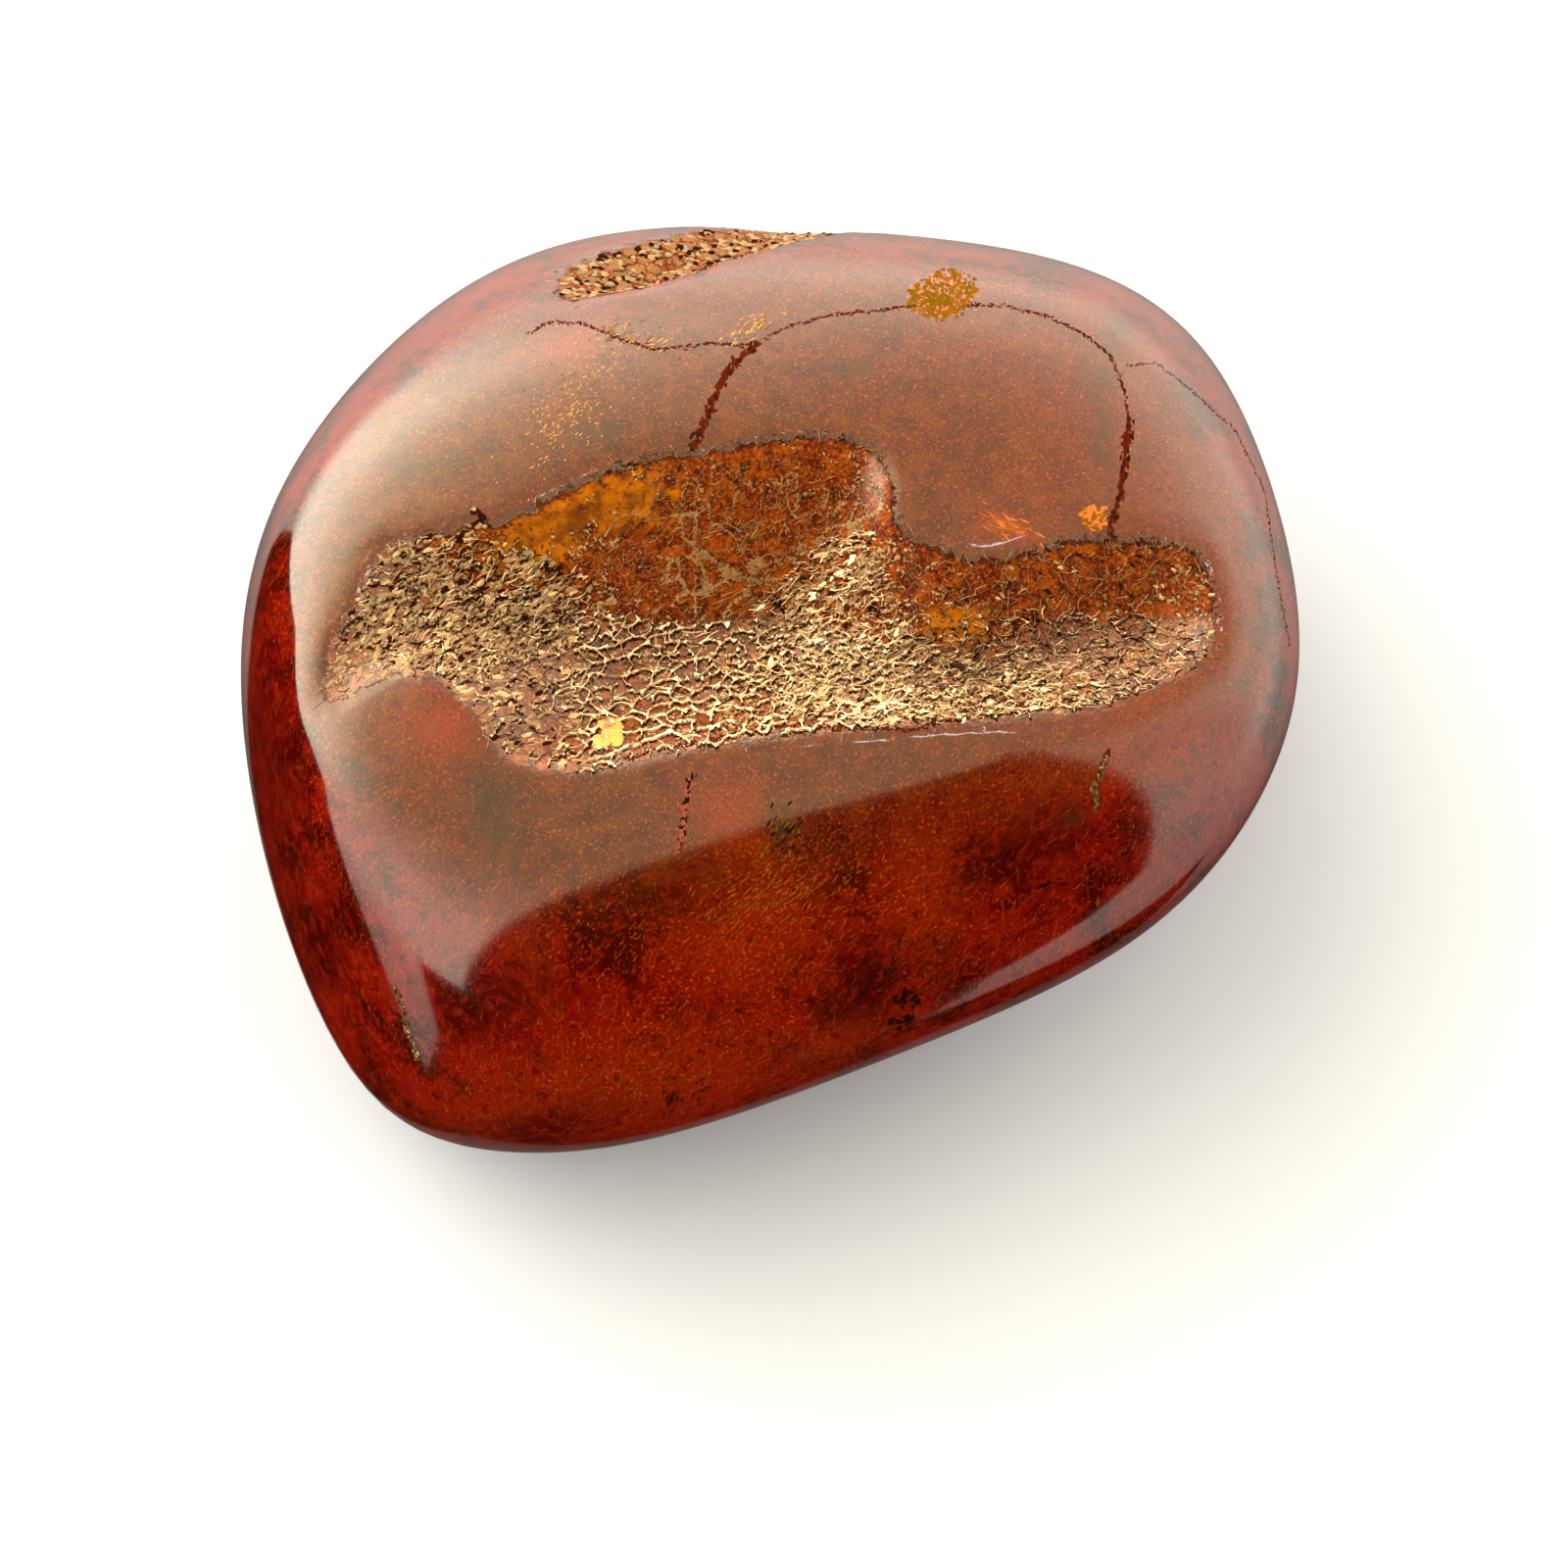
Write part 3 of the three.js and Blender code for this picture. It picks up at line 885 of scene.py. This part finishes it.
# Black flakes as painted shade in three pits, a dark lump on the rim and a golden one near the lip:
# pixel, radius, height and shades.
LUMPS = [
    ((795, 615), 8, 0.07 * MM, [BLACK]),
    ((893, 622), 7, 0.07 * MM, [BLACK]),
    ((1058, 635), 5, 0.05 * MM, [BLACK]),
    ((491, 528), 9, 0.16 * MM, [BROWN, BROWN, TAN]),
    ((625, 750), 15, 0.1 * MM, [LUMP_GOLD, LUMP_GOLD, TAN]),
]
LUMP_FLAKES = 14
LUMP_SPREAD = 0.45
for (x, y), radius, height, shades in LUMPS:
    for _ in range(LUMP_FLAKES):
        right = crust_dice.gauss(0, LUMP_SPREAD) * radius
        down = crust_dice.gauss(0, LUMP_SPREAD) * radius
        size = radius * crust_dice.uniform(0.2, 0.5)
        thickness = height * crust_dice.uniform(0.4, 1)
        add_flake(crust, (x + right, y + down), size, thickness, crust_dice.choice(shades))

make_piece("hollow_crust", crust, crust_materials)

# The crust on the ledge: the same weathered resin, dried there in rounder tan lumps with dark lines between
# them. They are strewn over the whole ledge, also where the camera doesn't see it.
LEDGE_LUMPS = 520
LEDGE_SHADES = [TAN, GREY_TAN, GREY_TAN, GREY_TAN, BROWN, BROWN]
LEDGE_SKIN = 0.4
LEDGE_CORNERS = 7
LEDGE_RADIUS = (0.08, 0.26)
LEDGE_HEIGHT = (0.04, 0.12)
ledge_crust = new_shape(23)
ledge_dice = ledge_crust["dice"]


def pick_face(faces, area_sums, dice):
    """A face picked by chance, in step with its area."""
    return faces[bisect.bisect(area_sums, dice.uniform(0, area_sums[-1]))]


ledge_faces = [face for face in stone.data.polygons
               if face.center.y > LEDGE_FROM and natural_share(face.center) > LEDGE_SKIN]
ledge_sums = list(itertools.accumulate(face.area for face in ledge_faces))
for _ in range(LEDGE_LUMPS):
    face = pick_face(ledge_faces, ledge_sums, ledge_dice)
    side = face.normal.orthogonal().normalized()
    other_side = side.cross(face.normal)
    radius = ledge_dice.uniform(*LEDGE_RADIUS) * MM
    rim = []
    for along, across in uneven_ring(LEDGE_CORNERS, radius, ledge_dice):
        spot = face.center + side * along + other_side * across
        rim.append(stone_tree.find_nearest(spot)[:2])
    height = ledge_dice.uniform(*LEDGE_HEIGHT) * MM
    add_cap(ledge_crust, (face.center, face.normal), rim, height, ledge_dice.choice(LEDGE_SHADES))
make_piece("ledge_crust", ledge_crust, crust_materials)

# The cracks: natural flaws that reach the polish as dark red lines, crumbled along their edges. Two of
# them, at the front left corner and under the right end of the lip, are filled with tan crust. The two
# lines along the lip of the hollow are no cracks: they are painted shadow along its edge.
CRACK_AND_LIP_SHADOW_PATHS = [
    ([(540, 341), (563, 329), (599, 331), (628, 344), (666, 357), (704, 354), (728, 351), (768, 354)], 4),
    ([(772, 352), (745, 379), (728, 411), (719, 435), (707, 458)], 9),
    ([(772, 352), (804, 335), (848, 323), (892, 319), (935, 313)], 4),
    ([(985, 313), (1030, 314), (1070, 325), (1110, 345), (1135, 366), (1148, 400), (1152, 430)], 4),
    ([(1152, 430), (1149, 470), (1142, 510), (1132, 545)], 8),
    ([(1150, 375), (1180, 372), (1210, 395), (1260, 440), (1290, 500), (1305, 600), (1316, 660)], 2.5),
    # Along the lip of the hollow: painted shadow, drawn like a crack.
    ([(640, 775), (665, 766), (714, 758), (751, 748), (792, 741), (853, 744), (895, 743), (928, 746)], 5),
    ([(928, 746), (961, 738), (1010, 730), (1052, 727), (1075, 722)], 5),
]
FILLED_PATHS = [
    ([(402, 1008), (412, 1030), (414, 1052), (425, 1080)], 6),
    ([(1130, 770), (1117, 806), (1120, 826)], 7),
]
CRUMB_STEP = 2
CRUMB_GRAINS = 2
CRUMB_WANDER = 0.4
CRUMB_AHEAD = 4
FILL_WIDTH = 0.7
CRUMB_LIFT = 0.014 * MM
CRACK_AND_SHADOW_RED, CRACK_AND_SHADOW_BROWN, CRACK_TAN, CRACK_OLIVE, CRACK_CREAM = range(5)
crack_materials = [
    plain_material("crack_and_shadow_red", (0.055, 0.006, 0.0015), 0.9, 0.0),
    plain_material("crack_and_shadow_brown", (0.02, 0.004, 0.002), 0.9, 0.0),
    plain_material("crack_tan", (0.15, 0.085, 0.03), 0.8, 0.1),
    plain_material("crack_olive", (0.05, 0.034, 0.011), 0.8, 0.1),
    plain_material("crack_cream", (0.30, 0.22, 0.11), 0.8, 0.1),
]
cracks_and_lip_shadow = new_shape(31)


def trace(points, dice):
    """A line through listed pixels, in short uneven steps."""
    pixels = []
    for start, end in zip(points, points[1:]):
        start = Vector(start)
        end = Vector(end)
        steps = max(1, round((end - start).length / CRUMB_STEP))
        pixels.extend(start.lerp(end, i / steps) for i in range(steps))
    pixels.append(Vector(points[-1]))
    return [pixel + Vector((dice.gauss(0, CRUMB_WANDER), dice.gauss(0, CRUMB_WANDER))) for pixel in pixels]


def add_crumb_line(shape, points, width, shades):
    """Crumbs along a line: most of them in its middle and drawn out along it. The width is in pixels."""
    dice = shape["dice"]
    pixels = trace(points, dice)
    for here, ahead in zip(pixels, pixels[CRUMB_AHEAD:] + pixels[-1:] * CRUMB_AHEAD):
        way = ahead - here
        lean = math.degrees(math.atan2(-way.y, way.x))
        for _ in range(CRUMB_GRAINS):
            spot = here + Vector((dice.gauss(0, 0.22), dice.gauss(0, 0.22))) * width
            size = width * dice.uniform(0.15, 0.4)
            shade = dice.choice(shades)
            stretch = dice.uniform(1, 3)
            add_flake(shape, spot, size, CRUMB_LIFT, shade, stretch, lean + dice.gauss(0, 25))


for points, width in CRACK_AND_LIP_SHADOW_PATHS:
    add_crumb_line(cracks_and_lip_shadow, points, width, [CRACK_AND_SHADOW_RED, CRACK_AND_SHADOW_RED, CRACK_AND_SHADOW_BROWN])
for points, width in FILLED_PATHS:
    add_crumb_line(cracks_and_lip_shadow, points, width, [CRACK_AND_SHADOW_RED, CRACK_OLIVE])
    add_crumb_line(cracks_and_lip_shadow, points, width * FILL_WIDTH, [CRACK_TAN, CRACK_OLIVE, CRACK_AND_SHADOW_RED, CRACK_CREAM])
make_piece("cracks_and_lip_shadow", cracks_and_lip_shadow, crack_materials)

# The fibres and flecks: hair-fine golden threads, gold-green and orange flakes, and dark specks that were
# shut in the resin. They show at the polished skin and lie flush in it: threads shine with the polish,
# flakes are matt.
FLUSH = 0.004 * MM
PALE_GOLD, OLD_GOLD, OLIVE, ORANGE, RUST, BLACK_BROWN, AMBER_THREAD = range(7)
inclusion_materials = [
    plain_material("pale_gold_fleck", (0.34, 0.16, 0.04), 0.5, 0.15),
    plain_material("old_gold_fleck", (0.145, 0.050, 0.002), 0.6, 0.0),
    plain_material("olive_fleck", (0.09, 0.042, 0.002), 0.6, 0.0),
    plain_material("orange_glint_fleck", (0.36, 0.088, 0.008), 0.5, 0.2),
    plain_material("rust_fleck", (0.21, 0.018, 0.002), 0.09),
    plain_material("black_brown_fleck", (0.010, 0.002, 0.001), 0.6, 0.0),
    plain_material("amber_thread", (0.27, 0.040, 0.004), 0.09),
]
inclusions = new_shape(47)


def add_dashes(shape, spot, count, length, lean, width, shades):
    """Short straight flecks round a spot: length in pixels, width in millimetres."""
    dice = shape["dice"]
    x, y, half_width, half_height, spot_lean = spot
    for _ in range(count):
        along = dice.gauss(0, 0.5) * half_width
        across = dice.gauss(0, 0.5) * half_height
        right, down = turned(along, across, spot_lean)
        pixel = Vector((x + right, y + down))
        angle = math.radians(lean + dice.gauss(0, 14))
        half = Vector((math.cos(angle), -math.sin(angle))) * length * dice.uniform(0.3, 1.0) / 2
        line = lay([pixel - half, pixel, pixel + half])
        if line and natural_share(line[1][0]) < 0.3:
            thick = width * MM * dice.uniform(0.5, 1.2)
            add_ribbon(shape, line, [thick * 0.3, thick, thick * 0.3], FLUSH * 1.5, dice.choice(shades))


def add_cluster(shape, spot, count, radius, shades):
    """Flat flakes crowded round a spot: radius in pixels."""
    dice = shape["dice"]
    x, y, half_width, half_height, lean = spot
    for _ in range(count):
        reach = math.sqrt(dice.random()) * dice.uniform(0.75, 1.05)
        angle = dice.uniform(0, 2 * math.pi)
        along = reach * math.cos(angle) * half_width
        across = reach * math.sin(angle) * half_height
        right, down = turned(along, across, lean)
        size = radius * dice.uniform(0.4, 1.2)
        shade = dice.choice(shades)
        stretch = dice.uniform(1, 2.2)
        add_flake(shape, (x + right, y + down), size, FLUSH * 3, shade, stretch, dice.uniform(0, 180))


# A fracture inside the front catches the light as an orange pane: its bright edge is a painted highlight,
# and the other edge is dark.
FRACTURE_EDGES = [([(764, 781), (784, 806), (799, 836)], 2, [RUST, AMBER_THREAD]),
                  ([(706, 792), (698, 830), (694, 870)], 6, [BLACK_BROWN, RUST])]
for points, width, shades in FRACTURE_EDGES:
    add_crumb_line(inclusions, points, width, shades)

# The flecks lie round spots, each with its pixel, half width, half height and lean. A cluster then has its
# number of flakes, their radius and shades, and dashes have their number, length, lean, width and shades.
FLECKS = [
    # The crinkled golden flake near the back, and the gold flecks left of it and along the cracks.
    (add_cluster, (963, 302, 36, 25, 12), 620, 3.8, [OLD_GOLD, OLD_GOLD, OLD_GOLD, OLIVE, OLIVE, RUST]),
    (add_cluster, (956, 307, 18, 8, 10), 60, 4, [OLIVE]),
    (add_dashes, (588, 412, 84, 34, 52), 280, 5, 45, 0.08, [PALE_GOLD, PALE_GOLD, OLD_GOLD]),
    (add_dashes, (770, 335, 30, 12, 20), 60, 9, 40, 0.1, [OLD_GOLD, PALE_GOLD]),
    (add_dashes, (650, 345, 50, 14, -10), 70, 9, 30, 0.1, [OLD_GOLD, PALE_GOLD, OLIVE]),
    # Orange flakes at the back rim of the right arm: painted glints of light caught by fissures inside.
    (add_dashes, (1030, 537, 34, 13, -18), 90, 14, -28, 0.1, [ORANGE, OLD_GOLD, RUST, AMBER_THREAD]),
    (add_cluster, (1117, 530, 13, 15, 0), 70, 4.5, [ORANGE, ORANGE, OLD_GOLD]),
    # In the front: gold-green flecks under the middle, dark twigs and dark specks.
    (add_dashes, (795, 910, 90, 40, 12), 320, 10, 40, 0.04, [OLD_GOLD, OLIVE, AMBER_THREAD]),
    (add_dashes, (797, 848, 16, 30, 0), 50, 12, 60, 0.12, [BLACK_BROWN, OLIVE]),
    (add_dashes, (905, 990, 50, 16, 52), 24, 26, 52, 0.09, [BLACK_BROWN]),
    (add_cluster, (922, 1030, 17, 24, -20), 26, 5, [BLACK_BROWN]),
    (add_dashes, (1075, 905, 30, 6, 10), 14, 16, 20, 0.1, [BLACK_BROWN]),
    (add_dashes, (685, 1125, 12, 14, 0), 16, 16, 60, 0.1, [BLACK_BROWN]),
    (add_dashes, (712, 1108, 8, 8, 0), 6, 12, 20, 0.1, [BLACK_BROWN]),
]
for add_flecks, *values in FLECKS:
    add_flecks(inclusions, *values)
make_piece("inclusions", inclusions, inclusion_materials)

# The threads are strewn over the whole stone: upright on its left, slanting on its right, as they lay in
# the resin.
THREADS = 18000
THREAD_SHADES = [AMBER_THREAD, AMBER_THREAD, RUST, RUST, RUST, OLD_GOLD]
THREAD_LEAN_LEFT = 82
THREAD_LEAN_RIGHT = 48
THREAD_SPREAD = 30
THREAD_REACH_CROWN = 0.2
THREAD_REACH_SIDES = 0.4
THREAD_BEND = 0.015
THREAD_WIDTH = (0.006, 0.018)
threads = new_shape(59)
thread_dice = threads["dice"]
face_areas = [face.area if natural_share(face.center) < 0.05 else 0 for face in stone.data.polygons]
area_sums = list(itertools.accumulate(face_areas))
for _ in range(THREADS):
    face = pick_face(stone.data.polygons, area_sums, thread_dice)
    corners = [stone.data.vertices[corner].co for corner in face.vertices]
    start = corners[0].lerp(corners[1], thread_dice.random()).lerp(corners[2], thread_dice.random())
    lean = THREAD_LEAN_LEFT if start.x < 0 else THREAD_LEAN_RIGHT
    lean = math.radians(lean + thread_dice.gauss(0, THREAD_SPREAD))
    heading = picture_right * math.cos(lean) + picture_up * math.sin(lean)
    heading = (heading - face.normal * heading.dot(face.normal)).normalized()
    reach = THREAD_REACH_CROWN if face.normal.z > 0.8 else THREAD_REACH_SIDES
    half = heading * thread_dice.uniform(0.05, reach) * MM
    bend = face.normal.cross(heading) * thread_dice.gauss(0, THREAD_BEND) * MM
    line = [stone_tree.find_nearest(point)[:2] for point in (start - half, start + bend, start + half)]
    thick = thread_dice.uniform(*THREAD_WIDTH) * MM
    add_ribbon(threads, line, [thick * 0.4, thick, thick * 0.4], FLUSH, thread_dice.choice(THREAD_SHADES))
make_piece("threads", threads, inclusion_materials)

# The studio: a pale floor in a wide tent of soft warm light, brightest at the back left. Two black cards,
# one in front and one on the left, keep the polish there free of the tent's mirror image, and a thin lamp
# hangs in the roof. The stone doesn't mirror the floor.
FLOOR_SIDE = 6
FLOOR_DROP = 0.1 * MM
bpy.ops.object.select_all(action="DESELECT")
bpy.ops.mesh.primitive_plane_add(size=FLOOR_SIDE, location=(0, 0, -FLOOR_DROP))
floor = bpy.context.object
floor.name = "floor"
floor.visible_glossy = False
floor.data.materials.append(plain_material("floor_paper", (0.42, 0.44, 0.60), 0.9))

# The cards' outlines, in steps sideways and up for each step away from the stone.
FRONT_CARD = [(-0.72, 0), (0.556, 2.45), (1.0, 2.45), (1.0, -0.3), (0.7, -0.55), (0.7, -1.0), (2.3, -2.1),
              (2.3, -4), (-1.6, -4), (-1.6, -1.6), (-1.45, -1.25), (-1.2, -0.75), (-1.1, -0.25)]
LEFT_CARD = [(-0.25, 0.18), (0.3, 0.33), (0.75, -0.2), (1.0, -1.2), (1.0, -3), (-1.0, -3), (-0.75, -1.3),
             (-0.5, -0.62)]
CARD_DISTANCE = 1.0
card_black = plain_material("card_black", (0.004, 0.004, 0.004), 0.9, 0.0)


def add_card(name, corners, material):
    """A card that is mirrored in the stone, but isn't seen by the camera."""
    mesh = bpy.data.meshes.new(name)
    points = [STONE_MIDDLE + Vector(corner) * CARD_DISTANCE for corner in corners]
    mesh.from_pydata(points, [], [range(len(points))])
    mesh.materials.append(material)
    card = bpy.data.objects.new(name, mesh)
    bpy.context.scene.collection.objects.link(card)
    card.visible_camera = False
    card.visible_shadow = False


add_card("front_card", [(side, -1, up) for side, up in FRONT_CARD], card_black)
add_card("left_card", [(-1, side, up) for side, up in LEFT_CARD], card_black)

# The lamp draws a white line along the worn lip of the hollow.
LAMP_CORNERS = [(0.18, 0.04, 0.98), (0.31, 0.04, 0.98), (0.31, 0.06, 0.98), (0.18, 0.06, 0.98)]
LAMP_STRENGTH = 30.0
lamp_white = plain_material("lamp_white", (0, 0, 0), 0.9, 0.0)
lamp_shader = lamp_white.node_tree.nodes["Principled BSDF"]
lamp_shader.inputs["Emission Color"].default_value = (1, 1, 1, 1)
lamp_shader.inputs["Emission Strength"].default_value = LAMP_STRENGTH
add_card("lip_lamp", LAMP_CORNERS, lamp_white)

# The tent's light at heights from -1, straight down, to 1, straight up: warm on the roof, whiter on the
# walls, and dim on the ground.
TENT_LIGHT = [
    (-0.88, (0.12, 0.11, 0.10)),
    (-0.65, (0.75, 0.72, 0.62)),
    (-0.3, (1.8, 1.73, 1.45)),
    (0.0, (4.0, 3.85, 3.1)),
    (0.45, (4.3, 4.05, 3.0)),
    (0.88, (1.75, 1.62, 0.92)),
]
BRIGHT_SIDE = (-0.72, 0.45, 0.53)
BRIGHT_REACH = (0.6, 0.95)
BRIGHT_GAIN = 2.5
DIM_SIDE = (0.71, -0.66, 0.25)
DIM_REACH = (0.78, 0.95)
DIM_GAIN = 0.6


def gain_towards(tree, way, side, reach, gain):
    """The gain of the light that comes from near one side: it eases in over a reach of the dot product."""
    inputs = {0: way, 1: side}
    nearness = add_node(tree, "ShaderNodeVectorMath", inputs, operation="DOT_PRODUCT").outputs["Value"]
    return spread(tree, nearness, *reach, 1.0, gain)


world = bpy.data.worlds.new("studio_air")
bpy.context.scene.world = world
world.use_nodes = True
tree = world.node_tree
way = add_node(tree, "ShaderNodeTexCoord", {}).outputs["Generated"]
parts = add_node(tree, "ShaderNodeSeparateXYZ", {0: way}).outputs
height = add_node(tree, "ShaderNodeMapRange", {"Value": parts["Z"], "From Min": -1.0}).outputs["Result"]
tent = add_node(tree, "ShaderNodeValToRGB", {"Fac": height})
ramp = tent.color_ramp.elements
while len(ramp) < len(TENT_LIGHT):
    ramp.new(1.0)
for stop, (up, glow_colour) in zip(ramp, TENT_LIGHT):
    stop.position = (up + 1) / 2
    stop.color = (*glow_colour, 1)
background = tree.nodes["Background"]
tree.links.new(tent.outputs["Color"], background.inputs["Color"])
bright = gain_towards(tree, way, BRIGHT_SIDE, BRIGHT_REACH, BRIGHT_GAIN)
dim = gain_towards(tree, way, DIM_SIDE, DIM_REACH, DIM_GAIN)
tree.links.new(times(tree, bright, dim), background.inputs["Strength"])
# The tent is soft and even, so its light needs no sampling of its own.
world.cycles.sampling_method = "NONE"
bpy.context.scene.view_settings.view_transform = "Standard"
